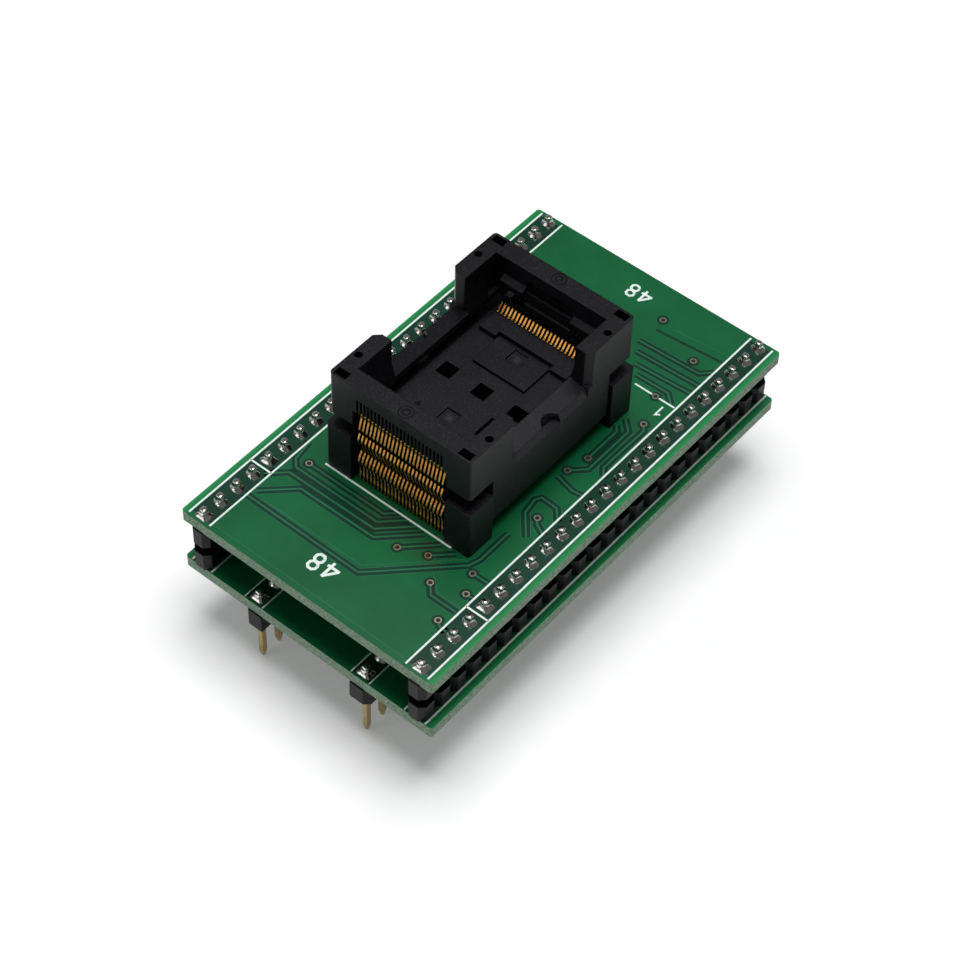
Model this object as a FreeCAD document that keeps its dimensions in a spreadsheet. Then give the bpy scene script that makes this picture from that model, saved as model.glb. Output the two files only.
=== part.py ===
import FreeCAD, Part
import os
import re

import Sketcher

# An adapter between a programmer's 48-pin DIP socket and a flat 48-lead chip: two green boards
# stacked on pin strips, with an open-top press-down socket on the upper board.
# Frame: X across the two pin rows, Y along them (longest), Z up from the tips of the lower pins.

os.makedirs("parts", exist_ok=True)
doc = FreeCAD.newDocument("ic_programming_adapter")

# Driving sizes in millimetres. Socket sizes count from its centre and the upper board's top.
SIZES = [
    ("pitch", 2.54),
    ("pins_per_row", 24),
    ("header_row_steps", 12),
    ("dip_row_steps", 6),
    ("board_side", 2.36),
    ("board_end", 0.18),
    ("board_thickness", 1.5),
    ("board_corner", 0.25),
    ("pin_side", 0.64),
    ("strip_height", 2.5),
    ("strip_chamfer", 0.65),
    ("strip_clearance", 0.1),
    ("header_gap", 1.35),
    ("header_pin_stub", 1.0),
    ("dip_pin_reach", 6.4),
    ("dip_pin_stub", 1.1),
    ("pin_taper", 0.9),
    ("pin_tip", 0.3),
    ("post_side", 0.5),
    ("post_stub", 1.4),
    ("socket_x", -0.1),
    ("socket_y", -1.4),
    ("contacts_per_end", 24),
    ("contact_pitch", 0.5),
    ("comb_margin", 0.45),
    ("rail_inset", 0.6),
    ("slide_clearance", 0.1),
    ("skirt_clearance", 0.3),
    ("arm_step", 0.55),
    ("arm_wall", 2.05),
    ("arm_length", 7.6),
    ("arm_chamfer", 0.75),
    ("skirt_wall", 1.05),
    ("skirt_foot", 0.4),
    ("base_lip", 0.35),
    ("base_corner", 0.4),
    ("ledge_end", 10.9),
    ("ledge_depth", 4.1),
    ("ledge_inset", 0.9),
    ("end_wall", 1.1),
    ("bar_clearance", 0.4),
    ("bar_depth", 2.3),
    ("tower_depth", 3.85),
    ("block_height", 6.8),
    ("tower_rise", 0.1),
    ("floor_rise", 0.5),
    ("ledge_rise", 0.7),
    ("wall_rise", 0.8),
    ("stroke", 1.9),
    ("rail_thickness", 0.9),
    ("rail_fall", 0.35),
    ("rail_slope", 0.4),
    ("rail_slope_height", 1.3),
    ("frame_height", 5.2),
    ("lid_corner", 0.45),
    ("window_side", 1.9),
    ("window_step", 4.85),
    ("window_depth", 2.6),
    ("mark_side", 1.9),
    ("mark_depth", 0.25),
    ("mark_x", -0.4),
    ("mark_y", -5.0),
    ("plate_width", 7.2),
    ("plate_length", 4.3),
    ("plate_overlap", 0.2),
    ("plate_rise", 0.4),
    ("plate_mark_inset", 1.1),
    ("slot_x", 3.4),
    ("slot_y", -3.6),
    ("slot_width", 0.5),
    ("slot_length", 3.0),
    ("slot_depth", 0.8),
    ("groove_gap", 0.55),
    ("groove_side_gap", 0.2),
    ("guard_low", 0.45),
    ("guard_side", 1.05),
    ("guard_high", 2.2),
    ("bar_rise", 1.6),
    ("comb_rise", 2.3),
    ("comb_height", 2.1),
    ("comb_depth", 1.0),
    ("comb_slot", 0.3),
    ("ramp_height", 2.4),
    ("ramp_setback", 1.75),
    ("ramp_step", 0.1),
    ("shelf_inner", 3.3),
    ("shelf_reach", 0.7),
    ("shelf_low", 0.8),
    ("shelf_high", 1.3),
    ("niche_depth", 0.7),
    ("niche_low", 0.5),
    ("niche_high", 2.2),
    ("corner_hole_x", 1.2),
    ("corner_hole_y", 0.75),
    ("corner_hole_width", 1.6),
    ("corner_hole_length", 1.0),
    ("corner_hole_depth", 2.5),
    ("round_hole_x", 0.75),
    ("round_hole_y", 3.8),
    ("round_hole_radius", 0.45),
    ("round_hole_depth", 1.5),
    ("notch_y", 0.1),
    ("notch_radius", 1.3),
    ("notch_inset", 0.05),
    ("notch_depth", 1.35),
    ("contact_thickness", 0.22),
    ("contact_width", 0.35),
    ("tail_inset", 0.35),
    ("bulge_out", 0.05),
    ("waist_inset", 0.5),
    ("lever_inset", 0.15),
    ("bulge_rise", 0.3),
    ("upper_bend", 1.7),
    ("lower_bend", 1.5),
    ("bend_reach", 0.9),
    ("lever_gap", 0.7),
    ("arm_gap", 0.1),
    ("arm_depth", 0.3),
    ("heel_reach", 0.15),
    ("knee_reach", 0.55),
    ("knee_rise", 1.15),
    ("tip_reach", 1.4),
    ("tip_gap", 0.15),
]

sheet = doc.addObject("Spreadsheet::Sheet", "Sizes")
for row, (name, value) in enumerate(SIZES, start=1):
    sheet.set("A%d" % row, name.replace("_", " "))
    sheet.set("B%d" % row, str(value))
    sheet.setAlias("B%d" % row, name)
doc.recompute()

# Heights of the stack, from the pin tips upwards, and the places of the pins and edges.
LOWER_BOARD = "(dip_pin_reach + strip_height)"
LOWER_TOP = "(%s + board_thickness)" % LOWER_BOARD
HEADER = "(%s + strip_height + header_gap)" % LOWER_TOP
UPPER_BOARD = "(%s + strip_height)" % HEADER
UPPER_TOP = "(%s + board_thickness)" % UPPER_BOARD
FIRST_PIN = "(-(pins_per_row - 1) * pitch / 2)"
HEADER_X = "(header_row_steps * pitch / 2)"
DIP_X = "(dip_row_steps * pitch / 2)"
BOARD_X = "(%s + board_side)" % HEADER_X
BOARD_Y = "(pins_per_row * pitch / 2 - board_end)"

# Socket widths, outwards from the row of contacts.
COMB_X = "(contacts_per_end * contact_pitch / 2 + comb_margin)"
RAIL_X = "(%s + rail_inset)" % COMB_X
FLOOR_X = "(%s - slide_clearance)" % RAIL_X
LEDGE_X = "(%s - ledge_inset)" % FLOOR_X
ARM_X = "(%s + arm_step)" % RAIL_X
LID_X = "(%s + arm_wall)" % ARM_X
SKIRT_X = "(%s - skirt_wall)" % LID_X
BLOCK_X = "(%s - skirt_clearance)" % SKIRT_X
BASE_X = "(%s + base_lip)" % LID_X

# Socket lengths, outwards from the ledges under the chip's leads.
LEDGE_Y = "(ledge_end - ledge_depth)"
BLOCK_Y = "(ledge_end + end_wall)"
BAR_Y = "(ledge_end + bar_clearance)"
LID_Y = "(%s + bar_depth)" % BAR_Y
BASE_Y = "(%s + base_lip)" % LID_Y
TOWER_Y = "(%s - tower_depth)" % BASE_Y
SKIRT_Y = "(%s - skirt_clearance)" % TOWER_Y
ARM_Y = "(%s - arm_length)" % LID_Y
PLATE_Y = "(%s + plate_overlap)" % LEDGE_Y

# Socket heights. The lid stands its stroke above the towers.
TOWER_TOP = "(block_height + tower_rise)"
FLOOR = "(block_height + floor_rise)"
LEDGE = "(%s + ledge_rise)" % FLOOR
WALL = "(block_height + wall_rise)"
PLATE = "(%s + plate_rise)" % FLOOR
LID_BOTTOM = "(%s + stroke)" % TOWER_TOP
RAIL_TOP = "(%s + rail_thickness)" % LID_BOTTOM
LID_TOP = "(%s + frame_height)" % RAIL_TOP
COMB = "(%s + comb_rise)" % LID_BOTTOM
BAR = "(%s + bar_rise)" % LID_BOTTOM


def bind(item, path, text):
    """Drive a property from the sheet: each size in the text becomes its cell."""
    item.setExpression(path, re.sub(r"[a-z]\w*", lambda word: "Sizes." + word.group(0), text))


def new_body(name, x="0", y="0", z="0"):
    body = doc.addObject("PartDesign::Body", name)
    for axis, text in zip("xyz", (x, y, z)):
        bind(body, "Placement.Base." + axis, text)
    return body


def origin(body, role):
    return [item for item in body.Origin.OriginFeatures if item.Role == role][0]


def finish(body, feature):
    body.Tip = feature
    doc.recompute()
    return feature


def box(body, kind, name, x, y, z):
    """Add or cut a block between two coordinates on each axis."""
    feature = body.newObject("PartDesign::%sBox" % kind, name)
    sides = (("Length", "x", x), ("Width", "y", y), ("Height", "z", z))
    for side, axis, (low, high) in sides:
        bind(feature, side, "(%s) - (%s)" % (high, low))
        bind(feature, "Placement.Base." + axis, low)
    return finish(body, feature)


def outline(body, name, role, level, points):
    """A closed outline on one of the body's planes, each corner held by the sheet."""
    sketch = body.newObject("Sketcher::SketchObject", name)
    sketch.AttachmentSupport = [(origin(body, role), "")]
    sketch.MapMode = "FlatFace"
    bind(sketch, "AttachmentOffset.Base.z", level)
    count = len(points)
    turn = 360.0 / count
    start = FreeCAD.Vector(10, 0, 0)
    axis = FreeCAD.Vector(0, 0, 1)
    corners = [FreeCAD.Rotation(axis, turn * index + 7).multVec(start) for index in range(count)]
    for index in range(count):
        following = (index + 1) % count
        sketch.addGeometry(Part.LineSegment(corners[index], corners[following]))
    for index in range(count):
        following = (index + 1) % count
        sketch.addConstraint(Sketcher.Constraint("Coincident", index, 2, following, 1))
    for index, (across, up) in enumerate(points):
        for kind, amount, text in (
            ("DistanceX", corners[index].x, across),
            ("DistanceY", corners[index].y, up),
        ):
            held = sketch.addConstraint(Sketcher.Constraint(kind, -1, 1, index, 1, amount))
            bind(sketch, "Constraints[%d]" % held, text)
    doc.recompute()
    return sketch


def extrude(body, kind, name, sketch, length, both_ways=False):
    feature = body.newObject("PartDesign::" + kind, name)
    feature.Profile = sketch
    feature.SideType = "Symmetric" if both_ways else "One side"
    bind(feature, "Length", length)
    return finish(body, feature)


def repeat(body, name, features, axis, count, step):
    feature = body.newObject("PartDesign::LinearPattern", name)
    feature.Originals = features
    feature.Direction = (origin(body, axis), [""])
    bind(feature, "Length", "(%s - 1) * %s" % (count, step))
    bind(feature, "Occurrences", count)
    return finish(body, feature)


def trim_corners(body, kind, name, amount):
    """Round or bevel the upright edges at the four corners of the body's footprint."""
    base = body.Tip
    bounds = base.Shape.BoundBox
    nearly = 1e-4
    edges = []
    for index, edge in enumerate(base.Shape.Edges, start=1):
        span = edge.BoundBox
        upright = span.ZLength > 2 * float(getattr(sheet, amount))
        at_side = span.XMax - bounds.XMin < nearly or bounds.XMax - span.XMin < nearly
        at_end = span.YMax - bounds.YMin < nearly or bounds.YMax - span.YMin < nearly
        if upright and at_side and at_end:
            edges.append("Edge%d" % index)
    feature = body.newObject("PartDesign::" + kind, name)
    feature.Base = (base, edges)
    bind(feature, "Radius" if kind == "Fillet" else "Size", amount)
    return finish(body, feature)


def sided(side, inner, outer):
    """The stretch between two distances from the middle, on the given side of it."""
    return ("-(%s)" % outer, "-(%s)" % inner) if side < 0 else (inner, outer)


def across(half):
    """The stretch from one side to the other, given the distance from the middle."""
    return ("-" + half, half)


def square_rows(body, name, x, side):
    """Square passages through a board for two rows of pins."""
    for word, sign in (("left", -1), ("right", 1)):
        centre = "%d * %s" % (sign, x)
        hole = box(
            body,
            "Subtractive",
            "%s_%s_passage" % (name, word),
            ("%s - %s / 2" % (centre, side), "%s + %s / 2" % (centre, side)),
            ("%s - %s / 2" % (FIRST_PIN, side), "%s + %s / 2" % (FIRST_PIN, side)),
            ("0", "board_thickness"),
        )
        repeat(body, "%s_%s_passages" % (name, word), [hole], "Y_Axis", "pins_per_row", "pitch")


def board(name, level, rows):
    body = new_body(name, z=level)
    box(body, "Additive", name + "_blank", across(BOARD_X), across(BOARD_Y), ("0", "board_thickness"))
    trim_corners(body, "Chamfer", name + "_corners", "board_corner")
    for row_name, x, side in rows:
        square_rows(body, name + "_" + row_name, x, side)


def strip(name, x, level, passages=False, plain_side=0):
    """A row of snap-off segments: octagons that meet in a narrow neck.

    The side that faces another row under the board can be left plain.
    """
    body = new_body(name, x=x, z=level)
    half = "pitch / 2"
    flat = "(pitch / 2 - strip_chamfer)"
    corners = []
    for side, end in ((-1, -1), (1, -1), (1, 1), (-1, 1)):
        if side == plain_side:
            corners.append(("%d * %s" % (side, half), "%d * %s" % (end, half)))
            continue
        pair = [
            ("%d * %s" % (side, half), "%d * %s" % (end, flat)),
            ("%d * %s" % (side, flat), "%d * %s" % (end, half)),
        ]
        corners += pair if side == end else pair[::-1]
    points = [(over, "%s + %s" % (FIRST_PIN, along)) for over, along in corners]
    sketch = outline(body, name + "_segment_outline", "XY_Plane", "0", points)
    segment = extrude(body, "Pad", name + "_segment", sketch, "strip_height")
    repeat(body, name + "_segments", [segment], "Y_Axis", "pins_per_row", "pitch")
    if passages:
        reach = "(pin_side / 2 + strip_clearance)"
        along = ("%s - %s" % (FIRST_PIN, reach), "%s + %s" % (FIRST_PIN, reach))
        hole = box(
            body, "Subtractive", name + "_passage", across(reach), along, ("0", "strip_height")
        )
        repeat(body, name + "_passages", [hole], "Y_Axis", "pins_per_row", "pitch")


def pins(name, x, side, low, high, tapered=False):
    """One row of square pins, the lower ends tapered on four sides where they plug in."""
    body = new_body(name, x=x, z=low)
    top = "(%s) - (%s)" % (high, low)
    foot, tip = ("pin_taper", "pin_tip") if tapered else ("0", side)
    half = [("%s / 2" % side, top), ("%s / 2" % tip, "0")]
    if tapered:
        half.insert(1, ("%s / 2" % side, foot))
    points = [("%s + %s" % (FIRST_PIN, along), up) for along, up in half]
    points += [("%s - %s" % (FIRST_PIN, along), up) for along, up in reversed(half)]
    sketch = outline(body, name + "_pin_outline", "YZ_Plane", "0", points)
    pin = extrude(body, "Pad", name + "_pin", sketch, side, both_ways=True)
    repeat(body, name + "_row", [pin], "Y_Axis", "pins_per_row", "pitch")
    for sign in (-1, 1) if tapered else ():
        wedge = [
            ("%d * %s / 2" % (sign, side), "0"),
            ("%d * %s / 2" % (sign, tip), "0"),
            ("%d * %s / 2" % (sign, side), foot),
        ]
        sketch = outline(body, name + "_taper_outline", "XZ_Plane", "0", wedge)
        extrude(body, "Pocket", name + "_taper", sketch, "pins_per_row * pitch", both_ways=True)


# Boards: square passages the size of the pins soldered into them.
board("upper_board", UPPER_BOARD, [("header", HEADER_X, "pin_side")])
board(
    "lower_board", LOWER_BOARD, [("post", HEADER_X, "post_side"), ("dip", DIP_X, "pin_side")]
)

# Strips and pins of both sides. The upper pins slide in the lower strips' wider passages.
for word, sign in (("left", -1), ("right", 1)):
    outer = "%d * %s" % (sign, HEADER_X)
    inner = "%d * %s" % (sign, DIP_X)
    strip("pin_header_" + word, outer, HEADER)
    strip("socket_strip_" + word, outer, LOWER_TOP, passages=True)
    strip("dip_header_" + word, inner, "dip_pin_reach", plain_side=-sign)
    pins("header_pins_" + word, outer, "pin_side", LOWER_TOP, UPPER_TOP + " + header_pin_stub")
    pins("socket_posts_" + word, outer, "post_side", LOWER_BOARD + " - post_stub", LOWER_TOP)
    pins("dip_pins_" + word, inner, "pin_side", "0", LOWER_TOP + " + dip_pin_stub", tapered=True)

# Socket base: a block with four corner towers, a raised floor and two ledges for the leads.
# Behind each ledge a guard bridges the contacts' arms, higher in the middle.
base = new_body("socket_base", "socket_x", "socket_y", UPPER_TOP)
box(base, "Additive", "base_block", across(BLOCK_X), across(BLOCK_Y), ("0", "block_height"))
for side in (-1, 1):
    for end in (-1, 1):
        box(
            base,
            "Additive",
            "tower",
            sided(side, COMB_X + " + slide_clearance", BASE_X),
            sided(end, TOWER_Y, BASE_Y),
            ("0", TOWER_TOP),
        )
box(base, "Additive", "floor", across(FLOOR_X), across("ledge_end"), ("block_height", FLOOR))
for end in (-1, 1):
    lead_side = sided(end, LEDGE_Y, "ledge_end")
    box(base, "Additive", "ledge", across(LEDGE_X), lead_side, (FLOOR, LEDGE))
    wall_side = sided(end, "ledge_end", BLOCK_Y)
    box(base, "Additive", "end_wall", across(LEDGE_X), wall_side, ("block_height", WALL))
    guard_side = sided(end, "ledge_end", BAR_Y + " - slide_clearance")
    guard_x = across("(%s - slide_clearance)" % COMB_X)
    guard_z = ("block_height", LEDGE + " + guard_side")
    box(base, "Additive", "guard", guard_x, guard_side, guard_z)
    middle_x = across("(shelf_inner - slide_clearance)")
    middle_z = (LEDGE + " + guard_side", LEDGE + " + guard_high")
    box(base, "Additive", "guard_middle", middle_x, guard_side, middle_z)
    passage_x = across("(contacts_per_end * contact_pitch / 2)")
    box(base, "Subtractive", "passage", passage_x, guard_side, (WALL, LEDGE + " + guard_low"))
trim_corners(base, "Fillet", "base_corners", "base_corner")
box(
    base,
    "Subtractive",
    "groove",
    across("(plate_width / 2 + groove_side_gap)"),
    (LEDGE_Y, PLATE_Y + " + groove_gap"),
    (FLOOR, LEDGE),
)
window = box(
    base,
    "Subtractive",
    "window",
    ("-window_step - window_side / 2", "-window_step + window_side / 2"),
    across("window_side / 2"),
    (FLOOR + " - window_depth", FLOOR),
)
repeat(base, "windows", [window], "X_Axis", "3", "window_step")
box(
    base,
    "Subtractive",
    "floor_slot",
    ("slot_x - slot_width / 2", "slot_x + slot_width / 2"),
    ("slot_y - slot_length / 2", "slot_y + slot_length / 2"),
    (FLOOR + " - slot_depth", FLOOR),
)
box(
    base,
    "Subtractive",
    "floor_mark",
    ("mark_x - mark_side / 2", "mark_x + mark_side / 2"),
    ("mark_y - mark_side / 2", "mark_y + mark_side / 2"),
    (FLOOR + " - mark_depth", FLOOR),
)

# Device plate: the raised pad under the far half of the chip.
plate = new_body("device_plate", "socket_x", "socket_y", UPPER_TOP)
plate_side = (PLATE_Y + " - plate_length", PLATE_Y)
box(plate, "Additive", "plate_pad", across("plate_width / 2"), plate_side, (FLOOR, PLATE))
mark_y = PLATE_Y + " - plate_mark_inset"
mark_side = (mark_y + " - mark_side / 2", mark_y + " + mark_side / 2")
mark_top = (PLATE + " - mark_depth", PLATE)
box(plate, "Subtractive", "plate_mark", across("mark_side / 2"), mark_side, mark_top)

# Lid: two U frames over the ends, joined by low rails whose skirts hang beside the base.
lid = new_body("socket_lid", "socket_x", "socket_y", UPPER_TOP)
for end in (-1, 1):
    half = [
        (ARM_X, BAR_Y),
        (ARM_X, ARM_Y),
        (LID_X + " - arm_chamfer", ARM_Y),
        (LID_X, ARM_Y + " + arm_chamfer"),
        (LID_X, LID_Y),
    ]
    around = half + [("-(%s)" % x, y) for x, y in reversed(half)]
    points = [(x, "%d * (%s)" % (end, y)) for x, y in around]
    sketch = outline(lid, "frame_outline", "XY_Plane", RAIL_TOP, points)
    extrude(lid, "Pad", "frame", sketch, "frame_height")
for side in (-1, 1):
    rail_side = sided(side, COMB_X, LID_X)
    box(lid, "Additive", "rail", rail_side, across(LID_Y), (LID_BOTTOM, RAIL_TOP))
    skirt_side = sided(side, SKIRT_X, LID_X)
    skirt_drop = ("stroke + skirt_foot", LID_BOTTOM)
    box(lid, "Additive", "skirt", skirt_side, across(SKIRT_Y), skirt_drop)
box(lid, "Subtractive", "rail_gap", across(RAIL_X), across(BAR_Y), (LID_BOTTOM, RAIL_TOP))
trim_corners(lid, "Fillet", "lid_corners", "lid_corner")

# Between the arms the rails' tops fall a little outwards and their outer edges are bevelled.
# Each has a half-round finger notch.
for side in (-1, 1):
    slope = [
        ("%d * %s" % (side, RAIL_X), RAIL_TOP),
        ("%d * %s" % (side, LID_X), RAIL_TOP),
        ("%d * %s" % (side, LID_X), RAIL_TOP + " - rail_slope_height"),
        ("%d * (%s - rail_slope)" % (side, LID_X), RAIL_TOP + " - rail_fall"),
    ]
    sketch = outline(lid, "rail_slope_outline", "XZ_Plane", "0", slope)
    extrude(lid, "Pocket", "rail_slope_cut", sketch, "2 * " + ARM_Y, both_ways=True)
    notch = lid.newObject("PartDesign::SubtractiveCylinder", "finger_notch")
    bind(notch, "Radius", "notch_radius")
    bind(notch, "Height", "notch_depth")
    bind(notch, "Placement.Base.x", "%d * (%s - notch_inset)" % (side, LID_X))
    bind(notch, "Placement.Base.y", "notch_y")
    bind(notch, "Placement.Base.z", RAIL_TOP + " - notch_depth")
    finish(lid, notch)

# Guide ramps inside the four arms steer the chip's long sides towards the middle.
RAMP_START = ARM_Y + " + ramp_step"
RAMP_END = BAR_Y + " - ramp_setback"
for side in (-1, 1):
    for end in (-1, 1):
        ramp = [
            ("%d * %s" % (side, ARM_X), RAIL_TOP),
            ("%d * %s" % (side, RAIL_X), RAIL_TOP),
            ("%d * %s" % (side, ARM_X), RAIL_TOP + " + ramp_height"),
        ]
        level = RAMP_START if end < 0 else "-(%s)" % RAMP_END
        sketch = outline(lid, "ramp_outline", "XZ_Plane", level, ramp)
        extrude(lid, "Pad", "ramp", sketch, "(%s) - (%s)" % (RAMP_END, RAMP_START))

# Each end bar: open below over the contacts' arms, cut higher over their levers with a comb
# slot for each, and inside it two sloped shelves with a niche between them.
FIRST_CONTACT = "(-(contacts_per_end - 1) * contact_pitch / 2)"
for end in (-1, 1):
    bar_side = sided(end, BAR_Y, LID_Y)
    box(lid, "Subtractive", "bar_window", across(COMB_X), bar_side, (RAIL_TOP, BAR))
    lever_side = sided(end, LID_Y + " - comb_depth", LID_Y)
    box(lid, "Subtractive", "lever_window", across(COMB_X), lever_side, (BAR, COMB))
    slot = box(
        lid,
        "Subtractive",
        "comb_slot",
        (FIRST_CONTACT + " - comb_slot / 2", FIRST_CONTACT + " + comb_slot / 2"),
        lever_side,
        (COMB, COMB + " + comb_height"),
    )
    repeat(lid, "comb_slots", [slot], "X_Axis", "contacts_per_end", "contact_pitch")
    for side in (-1, 1):
        shelf = [
            ("%d * %s" % (end, BAR_Y), COMB),
            ("%d * (%s - shelf_reach)" % (end, BAR_Y), COMB),
            ("%d * (%s - shelf_reach)" % (end, BAR_Y), COMB + " + shelf_low"),
            ("%d * %s" % (end, BAR_Y), COMB + " + shelf_high"),
        ]
        level = "shelf_inner" if side > 0 else "-" + COMB_X
        sketch = outline(lid, "shelf_outline", "YZ_Plane", level, shelf)
        extrude(lid, "Pad", "shelf", sketch, COMB_X + " - shelf_inner")
    niche_side = sided(end, BAR_Y, BAR_Y + " + niche_depth")
    niche_rise = (COMB + " + niche_low", COMB + " + niche_high")
    box(lid, "Subtractive", "niche", across("shelf_inner"), niche_side, niche_rise)

# Square and round holes in the top of the four corners.
hole_x = LID_X + " - corner_hole_x"
hole_y = LID_Y + " - corner_hole_y"
for side in (-1, 1):
    for end in (-1, 1):
        box(
            lid,
            "Subtractive",
            "corner_hole",
            sided(side, hole_x + " - corner_hole_width / 2", hole_x + " + corner_hole_width / 2"),
            sided(end, hole_y + " - corner_hole_length / 2", hole_y + " + corner_hole_length / 2"),
            (LID_TOP + " - corner_hole_depth", LID_TOP),
        )
        hole = lid.newObject("PartDesign::SubtractiveCylinder", "round_hole")
        bind(hole, "Radius", "round_hole_radius")
        bind(hole, "Height", "round_hole_depth")
        bind(hole, "Placement.Base.x", "%d * (%s - round_hole_x)" % (side, LID_X))
        bind(hole, "Placement.Base.y", "%d * (%s - round_hole_y)" % (end, LID_Y))
        bind(hole, "Placement.Base.z", LID_TOP + " - round_hole_depth")
        finish(lid, hole)

# Contacts: stamped blades. Each bends in and out twice as its spring, then forks into the
# upright lever under the lid and a low arm, which passes the guard and hooks over on the lead.
TAIL = "(%s - tail_inset)" % LID_Y
BULGE = "(%s + bulge_out)" % LID_Y
WAIST = "(%s - waist_inset)" % LID_Y
LEVER = "(%s - lever_inset)" % LID_Y
HIGH_BULGE = "(block_height + bulge_rise)"
WAIST_Z = "(%s - upper_bend)" % HIGH_BULGE
LOW_BULGE = "(%s - lower_bend)" % WAIST_Z
ARM_Z = "(%s + arm_gap)" % LEDGE
ARM_TOP = "(%s + arm_depth)" % ARM_Z
CONTACT = [
    (TAIL, "0"),
    (BULGE, LOW_BULGE),
    (WAIST, WAIST_Z),
    (BULGE, HIGH_BULGE),
    (LEVER, HIGH_BULGE + " + bend_reach"),
    (LEVER, COMB + " - lever_gap"),
    (LEVER + " - contact_width", COMB + " - lever_gap"),
    (LEVER + " - contact_width", ARM_TOP),
    ("ledge_end - heel_reach", ARM_TOP),
    ("ledge_end - knee_reach", LEDGE + " + knee_rise"),
    ("ledge_end - tip_reach", LEDGE + " + tip_gap"),
    ("ledge_end - knee_reach", LEDGE + " + knee_rise - contact_width"),
    ("ledge_end - heel_reach - contact_width / 2", ARM_Z),
    (LEVER + " - contact_width", ARM_Z),
    (BULGE + " - contact_width", HIGH_BULGE),
    (WAIST + " - contact_width", WAIST_Z),
    (BULGE + " - contact_width", LOW_BULGE),
    (TAIL + " - contact_width", "0"),
]
for word, end in (("near", -1), ("far", 1)):
    contacts = new_body("contacts_" + word, "socket_x", "socket_y", UPPER_TOP)
    points = [("%d * (%s)" % (end, along), up) for along, up in CONTACT]
    first = FIRST_CONTACT + " - contact_thickness / 2"
    sketch = outline(contacts, "contact_outline", "YZ_Plane", first, points)
    contact = extrude(contacts, "Pad", "contact", sketch, "contact_thickness")
    repeat(contacts, "contact_row", [contact], "X_Axis", "contacts_per_end", "contact_pitch")

doc.recompute()
for item in doc.Objects:
    if "Invalid" in item.State or "Error" in item.State:
        raise RuntimeError("%s did not compute" % item.Name)
for body in [item for item in doc.Objects if item.TypeId == "PartDesign::Body"]:
    if body.Shape.isNull() or not body.Shape.isValid():
        raise RuntimeError("%s has no sound shape" % body.Name)
    body.Shape.exportStep("parts/%s.step" % body.Name)
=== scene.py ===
# %% [markdown]
# # An adapter for programming flat chips
#
# The real object is two green circuit boards stacked on black pin strips. A chip drops into the
# charcoal socket on the upper board, and the gilt pins underneath plug into a programmer. Its
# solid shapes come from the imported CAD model. Here they get their materials, and everything
# thinner than paper is added: the copper tracks under the green mask, white print, solder.

# %% Load the frame
import math

import bpy
from mathutils import Matrix, Vector


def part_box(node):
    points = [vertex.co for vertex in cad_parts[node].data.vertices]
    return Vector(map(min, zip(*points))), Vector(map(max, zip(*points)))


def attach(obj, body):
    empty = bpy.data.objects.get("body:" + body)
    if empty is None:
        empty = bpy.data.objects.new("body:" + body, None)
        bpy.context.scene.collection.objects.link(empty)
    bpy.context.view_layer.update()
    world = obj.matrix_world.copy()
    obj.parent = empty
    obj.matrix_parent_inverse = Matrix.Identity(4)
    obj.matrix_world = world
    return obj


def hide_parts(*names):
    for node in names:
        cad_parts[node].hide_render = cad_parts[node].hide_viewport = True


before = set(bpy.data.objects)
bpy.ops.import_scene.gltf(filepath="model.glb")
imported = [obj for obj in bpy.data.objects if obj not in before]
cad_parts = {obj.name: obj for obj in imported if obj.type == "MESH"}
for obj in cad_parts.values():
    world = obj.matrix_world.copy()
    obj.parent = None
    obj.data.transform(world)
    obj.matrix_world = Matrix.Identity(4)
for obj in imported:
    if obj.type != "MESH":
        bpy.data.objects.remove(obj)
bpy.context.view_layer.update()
MM = 0.001

# %% [markdown]
# The print, tracks and solder have to lie exactly on the CAD faces. Their heights could be typed
# again, but then a change to the model would leave them floating, so they are read from the
# nodes. All lengths below are in millimetres.

# %% Heights and places read from the frame


def low(node):
    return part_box(node)[0] / MM


def high(node):
    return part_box(node)[1] / MM


UPPER_TOP = high("upper_board").z
LOWER_TOP = high("lower_board").z
LOWER_BOTTOM = low("lower_board").z
BOARD_X = high("upper_board").x
BOARD_Y = high("upper_board").y
PITCH = 2.54
PINS = 24
HEADER_X = (high("header_pins_right").x + low("header_pins_right").x) / 2
DIP_X = (high("dip_pins_right").x + low("dip_pins_right").x) / 2
SOCKET_X = (high("socket_lid").x + low("socket_lid").x) / 2
SOCKET_Y = (high("socket_lid").y + low("socket_lid").y) / 2
pin_rows = [(index - (PINS - 1) / 2) * PITCH for index in range(PINS)]
print("upper board top at %.2f mm, pin rows at +-%.2f mm" % (UPPER_TOP, HEADER_X))

# %% [markdown]
# A finish begins with the colour that the eye sees. Blender mixes amounts of light, not screen
# values, so the screen's numbers typed into a socket would look washed out. Colours are written
# as hex codes, which are easy to compare with a picture, and one function makes them linear.

# %% Colours


def srgb(code):
    """A hex screen colour as linear red, green, blue and alpha."""
    values = [int(code[index : index + 2], 16) / 255 for index in (0, 2, 4)]
    return [v / 12.92 if v <= 0.04045 else ((v + 0.055) / 1.055) ** 2.4 for v in values] + [1.0]


print("mid grey as light:", [round(v, 3) for v in srgb("808080")[:3]])

# %% [markdown]
# Every finish is a small tree of shader nodes. The trees could be clicked together by hand. In a
# script, one helper that adds a node with its settings and feeds its sockets keeps them
# readable: a plain value is set, and another node's output becomes a link.

# %% Nodes


def feed(tree, item, inputs):
    """Give sockets a value, or a link where the value is another node's output."""
    for name, value in inputs.items():
        if isinstance(value, bpy.types.NodeSocket):
            tree.links.new(value, item.inputs[name])
        else:
            item.inputs[name].default_value = value


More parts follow.
